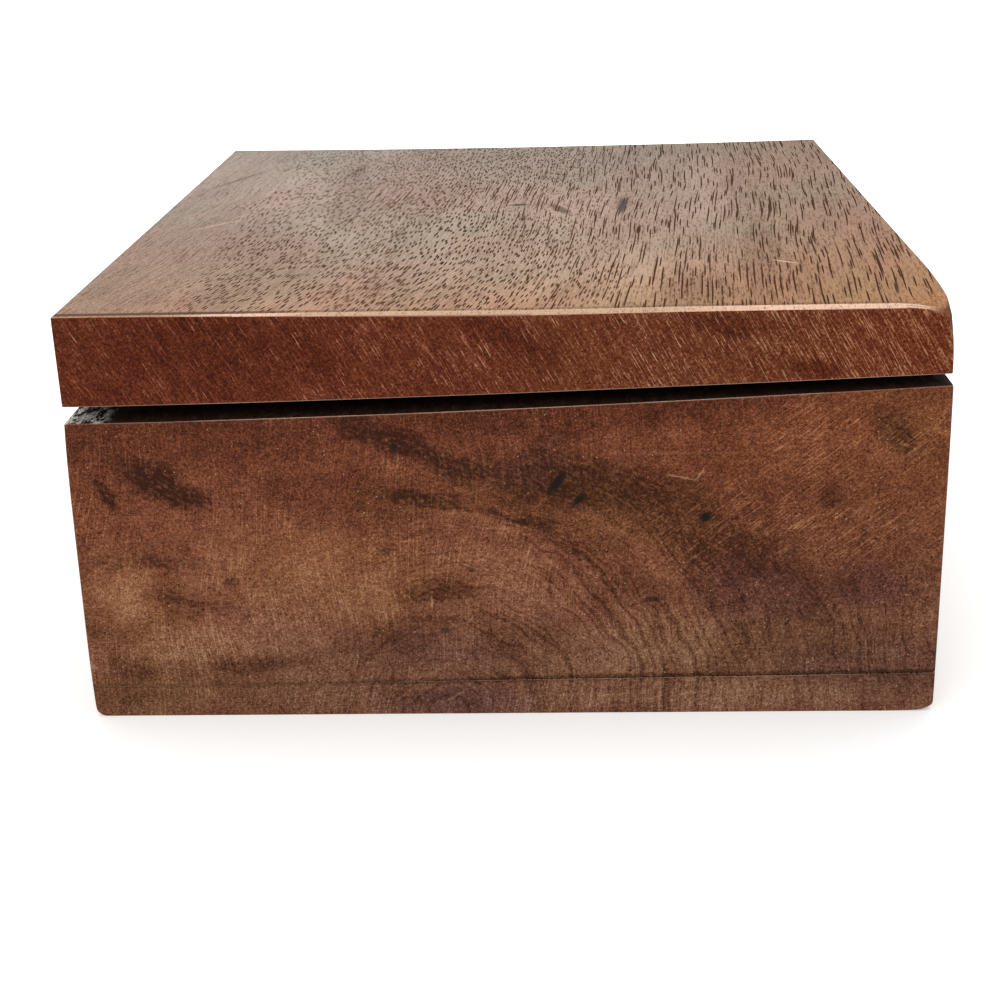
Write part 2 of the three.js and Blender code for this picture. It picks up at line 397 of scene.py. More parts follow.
def lid_mesh():
    """The lid: lower face along the saw cut, chamfered top, worn right front corner."""
    thickness = LID_TOP - underside(HALF_WIDTH)
    shares = places(thickness, WORN_CORNER_EDGE, FACE_STEP) / thickness
    x, y, share, faces, insets = slab(WORN_CORNER_REACH / 2, shares)
    local = LID_TOP - underside(x)
    insets.update(top=(1 - share) * local, bottom=share * local)
    corner = ("right", "front", "top")
    wear = math.prod(near(insets[side], WORN_CORNER_REACH) for side in corner)
    worn = np.maximum(WORN_CORNER_EDGE * wear, LEAST_EDGE)
    eased = ease([insets[side] for side in corner], [worn] * len(corner), ROUND)
    insets.update(zip(corner, eased))

    to_right = smooth_step(x, LID_CHAMFER_START, LID_CHAMFER_END)
    chamfer = between(LID_CHAMFER_LEFT, LID_CHAMFER_RIGHT, to_right)
    strip_end = HALF_WIDTH - LID_STRIP_END_INSET
    chamfer = between(chamfer, LID_STRIP_END, smooth_step(x, HALF_WIDTH - LID_STRIP_END_REACH, strip_end))
    ease_edges(insets, CORNERS + (
        ("front", "top", chamfer, FLAT),
        ("right", "top", LID_SIDE_EDGE, HALF_ROUND),
        ("left", "top", LID_SIDE_EDGE, FLAT),
        ("back", "top", LID_SIDE_EDGE, FLAT),
    ))
    sides = ("front", "right", "left", "back")
    ease_edges(insets, [(side, "bottom", LOWER_EDGE, ROUND) for side in sides])
    x, y = slab_places(x, y, insets)
    hollow = (1 - (x / HALF_WIDTH) ** 2) * smooth_step(y, -HALF_DEPTH / 3, HALF_DEPTH)
    dip = near(np.abs(x - FRONT_DIP_PLACE), FRONT_DIP_REACH) * near(insets["front"], FRONT_DIP_REACH)
    from_corner = np.hypot(
        (HALF_WIDTH - x) / CORNER_DROP_ALONG_FRONT, (HALF_DEPTH + y) / CORNER_DROP_ALONG_SIDE
    )
    drop = CORNER_DROP * np.clip(1 - from_corner, 0, 1) ** 2
    low = underside(x)
    high = LID_TOP - BACK_SAG * hollow - FRONT_DIP * dip - drop
    stretch = (high - low) / local
    up = np.where(share < 0.5, insets["bottom"], local - insets["top"]) * stretch
    near_front = np.clip(1 - insets["front"] / LID_LEAN_REACH, 0, 1) ** 2
    right_lean = near_front * (LID_LEAN_RIGHT + LID_LEAN_CORNER * (up / local) ** 2)
    lean = np.where(x < 0, LID_LEAN_LEFT * (1 - up / local), -right_lean)
    x = x + lean * np.abs(x) / HALF_WIDTH
    return np.stack([x, y, low + up], -1), faces


def outline_pair():
    """Matching points of the block's outside and hollow seen from above, all the way round."""
    outer, inner = [], []
    angles = np.linspace(0, math.pi / 2, CORNER_STEPS + 1)
    for side_x, side_y, turn in ((1, -1, -90), (1, 1, 0), (-1, 1, 90), (-1, -1, 180)):
        wall_y = FRONT_WALL if side_y < 0 else BACK_WALL
        round_angles = angles + math.radians(turn)
        arc = np.stack([np.cos(round_angles), np.sin(round_angles)], -1)
        for points, inset_x, inset_y, radius in (
            (outer, 0, 0, UPRIGHT_EDGE),
            (inner, SIDE_WALL, wall_y, CAVITY_CORNER_RADIUS),
        ):
            centre_x = side_x * (HALF_WIDTH - inset_x - radius)
            centre_y = side_y * (HALF_DEPTH - inset_y - radius)
            points.append(arc * radius + np.array([centre_x, centre_y]))
    joined = []
    for corners in (outer, inner):
        line = []
        for corner, following, half in zip(corners, corners[1:] + corners[:1], (1, 0, 1, 0)):
            length = 2 * (HALF_DEPTH if half else HALF_WIDTH)
            shares = np.linspace(0, 1, round(length / RIM_STEP) + 1)[1:-1, None]
            line += [corner, between(corner[-1], following[0], shares)]
        joined.append(np.concatenate(line))
    return joined


def block_mesh():
    """The hollowed block, as a wall that runs round: outside, rim, inside and lower edge."""
    outer, inner = outline_pair()
    height = RIM_RIGHT - GLUE_RIGHT
    up = places(height, FACE_STEP, FACE_STEP) / height
    over = places(SIDE_WALL, FACE_STEP, SAWN_STEP) / SIDE_WALL
    under = np.linspace(1, 0, round(SIDE_WALL / FACE_STEP))
    profile = [(0, 1 - share) for share in up]
    profile += [(share, 0) for share in over[1:]]
    profile += [(1, share) for share in (1 - up[::-1])[1:]]
    profile += [(share, 1) for share in under[1:-1]]
    across, down = np.array(profile).T

    wall = inner - outer
    width = np.linalg.norm(wall, axis=-1)[:, None]
    rim = rim_height(outer[:, :1])
    tall = rim - glue_line(outer[:, :1])
    insets = {
        "outside": across[None] * width,
        "inside": (1 - across[None]) * width,
        "rim": down[None] * tall,
    }
    ease_edges(insets, (
        ("outside", "rim", LOWER_EDGE, HALF_ROUND),
        ("inside", "rim", LOWER_EDGE, HALF_ROUND),
    ))
    share = np.where(across[None] < 0.5, insets["outside"] / width, 1 - insets["inside"] / width)
    plan = outer[:, None] + wall[:, None] * share[..., None]
    x, y = plan[..., 0], plan[..., 1]
    tall_here = rim_height(x) - glue_line(x)
    z = rim_height(x) - insets["rim"] * tall_here / tall
    points = np.stack([side_ease(x, z), y, z], -1)

    rounds, count = share.shape
    number = np.arange(rounds * count).reshape(rounds, count)
    here, ahead = number, np.roll(number, -1, axis=0)
    quads = [here, ahead, np.roll(ahead, -1, axis=1), np.roll(here, -1, axis=1)]
    return points.reshape(-1, 3), np.stack(quads, -1).reshape(-1, 4).tolist()


def board_mesh():
    """The base board, worn at its lower front corners."""
    shares = places(GLUE_LEFT, GLUE_LEFT / 2, FACE_STEP) / GLUE_LEFT
    x, y, share, faces, insets = slab(WORN_FOOT_REACH / 2, np.unique(shares))
    top = glue_line(x) - between(GLUE_LINE_LEFT, GLUE_LINE_RIGHT, across_share(x))
    insets.update(top=(1 - share) * top, bottom=share * top)
    near_front = near(insets["front"], HALF_DEPTH)
    for side, worn in (("left", WORN_FOOT_LEFT), ("right", WORN_FOOT_RIGHT)):
        radii = [between(FOOT_EDGE, radius, near_front) for radius in worn]
        insets[side], insets["bottom"] = ease((insets[side], insets["bottom"]), radii, HALF_ROUND)
    ease_edges(insets, CORNERS + (
        ("front", "bottom", FOOT_FRONT_EDGE, ROUND),
        ("back", "bottom", FOOT_EDGE, ROUND),
    ))
    x, y = slab_places(x, y, insets)
    near_right = near(insets["right"], WORN_FOOT_REACH)
    lift = WORN_FOOT_LIFT * near_right * near_front * (1 - share)
    z = np.where(share < 0.5, insets["bottom"], top - insets["top"]) + lift
    return np.stack([side_ease(x, z), y, z], -1), faces


# Materials: a small wrapper that lets node graphs be written as sums

OVAL_REACH_SHARE = 1.3
OVAL_SOFT_SHARE = 0.69


def operator(name, swapped=False):
    """A method of Field that reckons with its value and another."""
    def method(self, other):
        values = (other, self) if swapped else (self, other)
        return self.graph.reckon(name, *values)
    return method


class Field:
    """A value in a node graph that can be reckoned with like a number."""

    def __init__(self, graph, socket):
        self.graph = graph
        self.socket = socket

    __add__ = operator("ADD")
    __radd__ = operator("ADD", swapped=True)
    __sub__ = operator("SUBTRACT")
    __rsub__ = operator("SUBTRACT", swapped=True)
    __mul__ = operator("MULTIPLY")
    __rmul__ = operator("MULTIPLY", swapped=True)
    __truediv__ = operator("DIVIDE")

    def clamped(self):
        return self.graph.reckon("ADD", self, 0, clamp=True)

    def smooth(self, low, high):
        """0 at low, 1 at high and a smooth climb between. Low may be the larger."""
        swapped = low > high
        inputs = {"Value": self, "From Min": min(low, high), "From Max": max(low, high)}
        inputs.update({"To Min": float(swapped), "To Max": float(not swapped)})
        return self.graph.field("ShaderNodeMapRange", "Result", inputs, interpolation_type="SMOOTHSTEP")


# The mix node's names repeat, so its sockets for colours go by number
MIX_SHARE = 0
MIX_FIRST = 6
MIX_SECOND = 7
MIX_RESULT = 2


class Graph:
    """A node graph being built. Its place is the object's own place in millimetres."""

    def __init__(self, name, library=bpy.data.materials):
        self.owner = library.new(name)
        self.owner.use_nodes = True
        self.tree = self.owner.node_tree
        self.tree.nodes.clear()
        coordinates = self.node("ShaderNodeTexCoord")
        self.place = self.scaled(Field(self, coordinates.outputs["Object"]), MILLIMETRES)
        self.normal = Field(self, coordinates.outputs["Normal"])
        self.axes = self.split(self.place)

    def node(self, kind, inputs=None, **settings):
        node = self.tree.nodes.new(kind)
        for name, value in settings.items():
            setattr(node, name, value)
        for key, value in (inputs or {}).items():
            self.feed(node.inputs[key], value)
        return node

    def field(self, kind, output, inputs, **settings):
        """One output of a new node."""
        return Field(self, self.node(kind, inputs, **settings).outputs[output])

    def feed(self, socket, value):
        if isinstance(value, Field):
            self.tree.links.new(value.socket, socket)
        elif socket.type == "RGBA":
            socket.default_value = (*value, 1)
        else:
            socket.default_value = value

    def reckon(self, operation, *values, clamp=False):
        inputs = dict(enumerate(values))
        return self.field("ShaderNodeMath", 0, inputs, operation=operation, use_clamp=clamp)

    def largest(self, first, second):
        return self.reckon("MAXIMUM", first, second)

    def vector(self, operation, *values):
        output = "Value" if operation == "LENGTH" else "Vector"
        return self.field("ShaderNodeVectorMath", output, dict(enumerate(values)), operation=operation)

    def scaled(self, vector, factor):
        inputs = {"Vector": vector, "Scale": factor}
        return self.field("ShaderNodeVectorMath", "Vector", inputs, operation="SCALE")

    def split(self, vector):
        node = self.node("ShaderNodeSeparateXYZ", {"Vector": vector})
        return [Field(self, output) for output in node.outputs]

    def joined(self, x, y, z=0):
        return self.field("ShaderNodeCombineXYZ", "Vector", {"X": x, "Y": y, "Z": z})

    def oval(self, place, centre, turn, half_sizes):
        """1 at the heart of an oval and 0 beyond it, with a soft edge."""
        node = self.node("ShaderNodeTexGradient", {"Vector": place}, gradient_type="SPHERICAL")
        node.texture_mapping.vector_type = "TEXTURE"
        node.texture_mapping.translation = centre
        node.texture_mapping.rotation = turn
        node.texture_mapping.scale = [half * OVAL_REACH_SHARE for half in half_sizes]
        return Field(self, node.outputs["Fac"]).smooth(0, OVAL_SOFT_SHARE)

    def noise(self, vector, detail=2, roughness=0.5, dimensions="3D", scale=1):
        inputs = {"Vector": vector, "Scale": scale, "Detail": detail, "Roughness": roughness}
        return self.field("ShaderNodeTexNoise", "Fac", inputs, noise_dimensions=dimensions)

    def noise_vector(self, vector, scale, reach):
        """A vector that wanders up to reach millimetres each way."""
        inputs = {"Vector": vector, "Scale": scale, "Detail": 1}
        colour = self.field("ShaderNodeTexNoise", "Color", inputs, noise_dimensions="3D")
        return self.scaled(self.vector("SUBTRACT", colour, (0.5, 0.5, 0.5)), 2 * reach)

    def cells(self, vector, dimensions="2D", scale=1):
        """Distance to the nearest of many scattered points, and two random values of that point."""
        inputs = {"Vector": vector, "Scale": scale}
        node = self.node("ShaderNodeTexVoronoi", inputs, voronoi_dimensions=dimensions)
        colour = self.node("ShaderNodeSeparateColor", {"Color": Field(self, node.outputs["Color"])})
        red, green = (Field(self, colour.outputs[name]) for name in ("Red", "Green"))
        return Field(self, node.outputs["Distance"]), red, green

    def ramp(self, value, stops):
        """A colour or grey looked up along a line of stops."""
        node = self.node("ShaderNodeValToRGB", {"Fac": value})
        elements = node.color_ramp.elements
        while len(elements) < len(stops):
            elements.new(0.5)
        for element, (position, colour) in zip(elements, stops):
            element.position = position
            element.color = (*(colour if isinstance(colour, tuple) else (colour,) * 3), 1)
        return Field(self, node.outputs["Color"])

    def mixed(self, share, first, second, blend="MIX"):
        inputs = {MIX_SHARE: share, MIX_FIRST: first, MIX_SECOND: second}
        return self.field("ShaderNodeMix", MIX_RESULT, inputs, data_type="RGBA", blend_type=blend)

    def tinted(self, colour, *tints):
        """A colour multiplied by the factors of each tint, as far as the tint's share goes."""
        for share, factors in tints:
            colour = self.mixed(share, colour, factors, "MULTIPLY")
        return colour

    def finish(self, colour, roughness, height, depth, constants):
        """Puts the surface together. Depth is the relief's full height in millimetres."""
        relief = {"Height": height, "Distance": depth * METRES, "Strength": 1}
        inputs = {
            "Base Color": colour,
            "Roughness": roughness,
            "Normal": self.field("ShaderNodeBump", "Normal", relief),
            **constants,
        }
        surface = self.field("ShaderNodeBsdfPrincipled", "BSDF", inputs)
        self.node("ShaderNodeOutputMaterial", {"Surface": surface})
        return self.owner


# Strokes and marks that the wood materials share

# Pores: room across and along that each has, their width as a share of it, and how many are kept
DASHES = (0.61, 4.3, 0.24, 0.9)
FINE_DASHES = (0.56, 3.7, 0.24, 0.75)
SHORT_STREAKS = (0.62, 17, 0.19, 0.55)
LONG_STREAKS = (0.76, 50, 0.155, 0.8)


def strokes(graph, across, along, look):
    """Short lines that run along: 1 on a line."""
    pitch, reach, width_share, kept_share = look
    vector = graph.joined(across / pitch, along / reach)
    distance, pick, strength = graph.cells(vector)
    line = distance.smooth(width_share * 1.2, width_share * 0.8)
    return line * pick.smooth(kept_share, kept_share - 0.05) * (strength * 0.3 + 0.7)


def turned(u, v, angle):
    """Distances across and along a direction, given in degrees up from the first axis."""
    c, s = math.cos(math.radians(angle)), math.sin(math.radians(angle))
    return v * c - u * s, u * c + v * s


# Hair lines: angle up from the first axis, room across and along, and the noise levels between
# which a line comes up
UPRIGHT_HAIRS = (86, 0.26, 9, 0.5, 0.68)
LEVEL_HAIRS = (3, 0.26, 8, 0.52, 0.7)
CLIMBING_HAIRS = (38, 0.2, 5, 0.53, 0.68)
STEEP_HAIRS = (-62, 0.19, 8, 0.49, 0.64)
SHALLOW_HAIRS = (-46, 0.34, 5, 0.52, 0.7)
SPARKS = (-60, 0.2, 4, 0.65, 0.76)
FIBRES = (0, 0.3, 14, 0.5, 0.68)


def hairs(graph, u, v, look):
    """Dense hair lines, 1 on a line."""
    angle, pitch, reach, low, high = look
    across, along = turned(u, v, angle)
    lines = graph.noise(graph.joined(across / pitch, along / reach), 2, 0.6, "2D")
    return lines.smooth(low, high)


# Specks: how many to a millimetre, the distances between which one fades out, and the random
# values between which they stop being kept
END_PORES = (1.1, 0.12, 0.3, 0.34, 0.42)
LID_END_PORES = (1.3, 0.12, 0.32, 0.42, 0.5)
GLINTS = (1.5, 0.08, 0.16, 0.1, 0.12)


def specks(graph, place, look):
    """Scattered specks, 1 on a speck, and a random strength for each."""
    scale, inner, outer, kept, dropped = look
    distance, pick, strength = graph.cells(place, "3D", scale)
    return distance.smooth(outer, inner) * pick.smooth(dropped, kept), strength


END_STRETCH = 0.04


def end_graph(name):
    """A new graph for end grain, its X, Y and Z, and the place drawn out along the grain."""
    graph = Graph(name)
    x, y, z = graph.axes
    return graph, x, y, z, graph.joined(x, y * END_STRETCH, z)


# How far marks run into the wood along the grain
ZONE_DEPTH = 600
MARK_DEPTH = 60
SLIGHT_DEPTH = 8


def marks(graph, place, table, depth=ZONE_DEPTH):
    """Soft ovals on the front that run into the wood along the grain.
    Each row has the centre's X and Z, the half length and half width, the tilt and the strength."""
    return reduce(graph.largest, (
        strength * graph.oval(place, (x, FRONT_Y, z), (0, -math.radians(tilt), 0), (length, depth, width))
        for x, z, length, width, tilt, strength in table
    ))


def worn_and_highlit_edge(graph):
    """1 on the level edges, where the finish has gone and where pale colour stands in for the highlight
    they catch: their normals lean between two axes.
    """
    nx, ny, nz = graph.split(graph.vector("ABSOLUTE", graph.normal))
    return (nz * graph.largest(nx * 0.7, ny)).smooth(0.18, 0.42)


# How far along X and back along Y together the worn strip ends and the golden wood starts
STRIP_END_START = 133
STRIP_END_FINISH = 135
GOLDEN_START = 127
GOLDEN_FINISH = 133


def near_corner(graph, speckle, start, finish):
    """1 on the lid's right front corner, with a ragged edge between two distances towards it."""
    x, y, z = graph.axes
    reach = x - y + (z - LID_TOP) * 1.2 + (speckle - 0.5) * 4
    return reach.smooth(start, finish)


# End grain of the block, front and back

END_TONES = (
    (0, (0.032, 0.01, 0.005)),
    (0.25, (0.076, 0.026, 0.013)),
    (0.45, (0.13, 0.049, 0.026)),
    (0.6, (0.18, 0.073, 0.04)),
    (0.8, (0.25, 0.114, 0.064)),
    (1, (0.37, 0.21, 0.13)),
)
DARK_MARKS = (
    (-49.3, 37.6, 7.2, 2.8, -28, 0.62),
    (-58.3, 36.2, 3.2, 1.7, -55, 0.55),
    (-14.5, 43.2, 11.5, 2.2, -25, 0.5),
    (-7, 40, 8, 2.4, -20, 0.48),
    (-11, 34.6, 6.5, 1.3, -8, 0.35),
    (2, 31.5, 5, 1.1, -14, 0.4),
    (12, 37, 20, 4.6, -10, 0.36),
    (30, 29, 18, 4.6, -28, 0.24),
    (37, 21, 13, 6.5, -12, 0.17),
    (6.5, 43, 5, 2, 30, 0.25),
    (56.5, 44, 5, 2.6, -50, 0.4),
    (46.8, 33.6, 2.4, 2.2, 0, 0.3),
    (-10, 20, 6.5, 2, -4, 0.36),
    (-17.5, 27, 1.8, 1.2, 0, 0.35),
    (-41.2, 22, 1.5, 1.5, 0, 0.35),
    (-54, 25.2, 8.5, 1.5, -4, 0.32),
    (-50, 19.5, 6, 1.1, -12, 0.28),
    (-18, 12, 9, 5, 0, 0.18),
    (-57, 8.5, 4.5, 2.5, -20, 0.2),
    (-38, 8.5, 7, 1.5, 6, 0.25),
    (-57, 3.2, 6, 1.8, 0, 0.16),
    (-12, 2.3, 9, 1.8, 0, 0.12),
    (50, 12, 15, 5, -10, 0.1),
    (55, 5, 10, 5, 0, 0.15),
)
BLACK_MARKS = (
    (7.6, 37.1, 2.5, 0.75, 54, 1),
    (10.7, 34.4, 1.4, 0.6, 50, 1),
    (29, 31.6, 1.1, 0.9, 20, 1),
    (21.4, 18.7, 1.5, 0.5, 8, 0.7),
    (27.2, 24.4, 0.8, 0.3, 45, 0.7),
    (52.2, 28.8, 0.3, 0.8, 0, 0.65),
    (-15.9, 42.7, 0.8, 0.6, 40, 0.7),
    (-9.4, 14, 0.9, 0.6, 0, 0.6),
)
LIGHT_ZONES = (
    (-28, 24, 26, 9, -8, 0.19),
    (-57, 21.5, 6, 6, 0, 0.3),
    (-42, 12.8, 20, 4.2, 4, 0.19),
    (2, 21.5, 13, 6.5, -20, 0.17),
    (-4, 31, 9, 3, -12, 0.14),
    (20, 11, 14, 8, 10, 0.2),
    (50, 41, 14, 6, -8, 0.06),
    (8, 5, 9, 5, 0, 0.06),
    (-42, 2.8, 22, 3, 0, 0.03),
    (34, 2.8, 30, 3.4, 0, 0.18),
    (-43, 41.5, 9, 4.5, 0, 0.08),
    (0, 5, 70, 7, 0, 0.05),
)
# Darker zones of the front. The first two rows, along the block's top just under the lid, are painted
# shadow of the lid; the others are darker wood.
DARKER_ZONES_AND_LID_SHADOW = (
    (-46, 46, 32, 7, 0, 0.18),
    (10, 48.5, 40, 4.5, 3, 0.2),
    (-26, 35, 16, 6, -10, 0.09),
    (40, 36, 20, 8, -10, 0.06),
    (46, 25.5, 20, 7, -6, 0.07),
    (-38, 30, 10, 4, 0, 0.05),
)
PURPLE_ZONES = (
    (37.5, 20.5, 11, 6.5, -12, 0.7),
    (53, 20.5, 6.5, 4, 0, 0.75),
    (52, 8, 13, 5, 0, 0.45),
    (-7, 2, 12, 2.6, 0, 0.7),
    (-10, 11, 9, 3, 0, 0.4),
    (4, 39, 7, 3, 20, 0.45),
)
OLIVE_ZONES = (
    (58, 45, 7, 6, -40, 0.45),
    (11, 34, 22, 6, -12, 0.5),
    (-55, 4, 9, 4.5, 0, 0.5),
    (-30, 10, 12, 5, 0, 0.25),
    (38, 8, 32, 9, 0, 0.5),
    (0, 6, 70, 9, 0, 0.3),
    (-16, 34, 9, 3, 0, 0.4),
)
TAN_ZONES = (
    (-24, 23, 22, 8, -8, 1),
    (-56, 18, 9, 10, 0, 1),
)
RING_ZONES = (
    (16, 14, 36, 22, -20, 1),
    (50, 12, 18, 12, 0, 0.8),
    (-8, 6, 22, 12, 0, 0.6),
)
SCRATCHED_ZONES = ((46, 36, 34, 18, 12, 1),)
STAIN_STREAK_ANGLE = -28
PALE_SCRATCHES = (
    (24, 41.3, 13, 0.16, 0, 0.12),
    (25.4, 37.7, 2.2, 0.16, -12, 0.5),
    (28.2, 38.1, 1.3, 0.16, 55, 0.5),
    (-11.2, 18.4, 1.1, 0.2, 90, 0.6),
    (-12, 6.8, 3.4, 0.22, 24, 0.2),
    (-8.6, 2.8, 2.8, 0.22, 30, 0.2),
    (3, 26, 1.6, 0.14, 60, 0.35),
)
PITH_X = -9.5
PITH_Z = -0.5
PITH = (PITH_X, 0, PITH_Z)
RING_REACH = 70
RING_HALF_WIDTH = 0.5
RING_LINES = (
    (5.2, 0.35),
    (8, 0.45),
    (15.4, 0.85),
    (30.2, 0.6),
    (32.3, 0.85),
    (34, 0.9),
    (35.6, 0.7),
    (37.6, 0.5),
    (47, 0.5),
    (53, 0.4),
)


def ring_stops():
    """Ramp stops that make each ring line a narrow peak."""
    stops = []
    for radius, strength in RING_LINES:
        for offset, level in ((-RING_HALF_WIDTH, 0), (0, strength), (RING_HALF_WIDTH, 0)):
            stops.append(((radius + offset) / RING_REACH, level))
    return stops


BLACK_MARK = (0.012, 0.008, 0.006)
PALE_SCRATCH = (0.42, 0.24, 0.14)
GLINT = (0.62, 0.42, 0.3)
WORN_AND_HIGHLIT_END = (0.38, 0.22, 0.15)
END_TONE = 0.443
END_RELIEF = 0.05
WOOD_SHINE = {"Specular IOR Level": 0.05}


def ring_pattern(graph, warped, flattened):
    """Dark ring lines, each at its own distance from the pith, and fine even rings."""
    x, y, z = graph.axes
    from_pith = graph.vector("SUBTRACT", warped, PITH)
    in_rings = graph.vector("MULTIPLY", from_pith, (1 / RING_REACH, 0, 1 / RING_REACH))
    radius = graph.vector("LENGTH", in_rings)
    zone = marks(graph, graph.place, RING_ZONES)
    rings = graph.ramp(radius, ring_stops()) * (zone * 0.8 + 0.2)
    wander = graph.vector("SUBTRACT", flattened, graph.joined(0, y, 0))
    wandered = graph.vector("ADD", graph.place, wander)
    even_radius = graph.vector("LENGTH", graph.vector("SUBTRACT", wandered, PITH))
    around = graph.joined(even_radius * 1.5, x * 0.05, z * 0.05)
    fine_rings = graph.noise(around, 2, 0.6).smooth(0.52, 0.34)
    return rings * 0.28, fine_rings * (zone * 0.2 + 0.03)


def stain_pattern(graph, warped, grit):
    """Dark stains, and how dark they are once a ragged pattern breaks them up."""
    x, _, z = graph.axes
    streak_place = graph.joined(*turned(x, z, STAIN_STREAK_ANGLE))
    ragged = graph.noise(graph.vector("MULTIPLY", streak_place, (1.8, 0.6, 1)), 3, 0.75, "2D")
    stain = marks(graph, warped, DARK_MARKS, MARK_DEPTH)
    return stain, stain * (ragged.smooth(0.3, 0.64) * 0.8 + grit.smooth(0.4, 0.6) * 0.45)


def sanding_hairs(graph, grain, scratched_zone):
    """Sanding scratches of the end grain in three directions, patchy in strength."""
    x, _, z = graph.axes
    bent = x + (graph.noise(grain, 0, scale=0.04) - 0.5) * 9
    upright = hairs(graph, bent, z, UPRIGHT_HAIRS)
    level = hairs(graph, x, z, LEVEL_HAIRS)
    climbing = hairs(graph, x, z, CLIMBING_HAIRS)
    hair = upright * (0.9 - scratched_zone * 0.7) + level * 0.55 + climbing * scratched_zone * 1.7
    patches = graph.noise(grain, 2, scale=0.12).smooth(0.35, 0.65)
    return hair * (patches * 0.6 + 0.3)


def distance_from_glue(graph):
    """How far a place lies above or below the glue line."""
    x, _, z = graph.axes
    glue_height = x.smooth(-HALF_WIDTH, HALF_WIDTH) * (GLUE_RIGHT - GLUE_LEFT) + GLUE_LEFT
    return graph.reckon("ABSOLUTE", z - glue_height)


def end_tints(graph, colour, warped, stain, scratched_zone):
    """The colour zones of the front: redder towards the top, with purple and olive patches."""
    x, _, z = graph.axes
    red = (z - x * 0.08).smooth(4, 46)
    low = z.smooth(18, 7) * x.smooth(-46, -28)
    return graph.tinted(
        colour,
        (red * 0.9, (1, 0.75, 0.65)),
        (stain * red, (0.96, 1.35, 1.6)),
        (marks(graph, warped, TAN_ZONES), (1, 1.02, 0.89)),
        (scratched_zone, (1.02, 1, 0.9)),
        (low, (1.03, 1.05, 1.16)),
        (marks(graph, warped, PURPLE_ZONES, MARK_DEPTH), (0.84, 0.86, 1.25)),
        (marks(graph, warped, OLIVE_ZONES, MARK_DEPTH), (0.95, 1.16, 0.92)),
    )


def end_grain():
    """Oiled end grain: rings about the pith, dark stains, and hair-fine sanding scratches."""
    graph, x, _, _, grain = end_graph("block_end_grain")
    flattened = graph.vector("MULTIPLY", graph.noise_vector(grain, 0.14, 2.2), (1, 0, 1))
    rough_edges = graph.noise_vector(grain, 0.9, 0.9)
    warped = graph.vector("ADD", graph.vector("ADD", graph.place, flattened), rough_edges)
    rings, fine_rings = ring_pattern(graph, warped, flattened)
    mottle = graph.noise(grain, 4, 0.65, scale=0.22)
    speckle = graph.noise(grain, 3, 0.75, scale=2.8)
    grit = graph.noise(graph.vector("MULTIPLY", grain, (4.4, 4.4, 7)), 2, 0.7)
    stain, ragged_stain = stain_pattern(graph, warped, grit)
    tone = END_TONE + (mottle - 0.5) * 0.55 + (speckle - 0.5) * 1.4 + (grit - 0.5) * 1.5
    tone = tone + marks(graph, warped, LIGHT_ZONES)
    # Darker wood, and painted shadow under the lid.
    tone = tone - marks(graph, warped, DARKER_ZONES_AND_LID_SHADOW)
    tone = tone - ragged_stain - rings - fine_rings

    pores, pore_strength = specks(graph, grain, END_PORES)
    tone = tone - pores * (pore_strength * 0.26 + 0.04)
    scratched_zone = marks(graph, graph.place, SCRATCHED_ZONES)
    hair = sanding_hairs(graph, grain, scratched_zone)
    from_glue = distance_from_glue(graph)
    glue_shade = from_glue.smooth(0.7, 0.1) * (x.smooth(-30, 0) * 0.17 + 0.1)
    tone = tone + hair * 0.26 - glue_shade

    colour = graph.ramp(tone.clamped(), END_TONES)
    colour = end_tints(graph, colour, warped, stain, scratched_zone)
    slightly = graph.vector("ADD", graph.place, graph.noise_vector(grain, 1.6, 0.25))
    black = marks(graph, slightly, BLACK_MARKS, MARK_DEPTH)
    colour = graph.mixed(black, colour, BLACK_MARK)
    scratched = marks(graph, slightly, PALE_SCRATCHES, SLIGHT_DEPTH)
    colour = graph.mixed(scratched, colour, PALE_SCRATCH)
    # Painted glints: pale specks standing in for highlights.
    glints, _ = specks(graph, grain, GLINTS)
    colour = graph.mixed(glints * 0.7, colour, GLINT)
    # Pale edges: worn finish, and painted highlight where the edge leans up and out.
    worn = worn_and_highlit_edge(graph) * from_glue.smooth(1, 2.5)
    colour = graph.mixed(worn * 0.35, colour, WORN_AND_HIGHLIT_END)

    height = speckle * 0.4 + grit * 0.25 - pores * 0.5 + mottle * 0.3
    roughness = (0.62 - hair * 0.12 + (mottle - 0.5) * 0.25).clamped()
    return graph.finish(colour, roughness, height, END_RELIEF, WOOD_SHINE)


# End grain of the lid

LID_END_TONES = (
    (0, (0.024, 0.005, 0.002)),
    (0.3, (0.076, 0.016, 0.006)),
    (0.5, (0.126, 0.033, 0.014)),
    (0.7, (0.19, 0.06, 0.028)),
    (1, (0.42, 0.23, 0.145)),
)
LID_DARK_MARKS = (
    (33, 60, 8, 2.2, -6, 0.18),
    (-42, 58, 12, 6, 0, 0.09),
    (-28, 57, 6, 3, -40, 0.1),
    (2, 58, 8, 2.6, -30, 0.16),
    (44, 53.5, 5, 1.8, 0, 0.16),
)


WORN_AND_HIGHLIT_LID_END = (0.42, 0.25, 0.18)
LID_END_TONE = 0.304


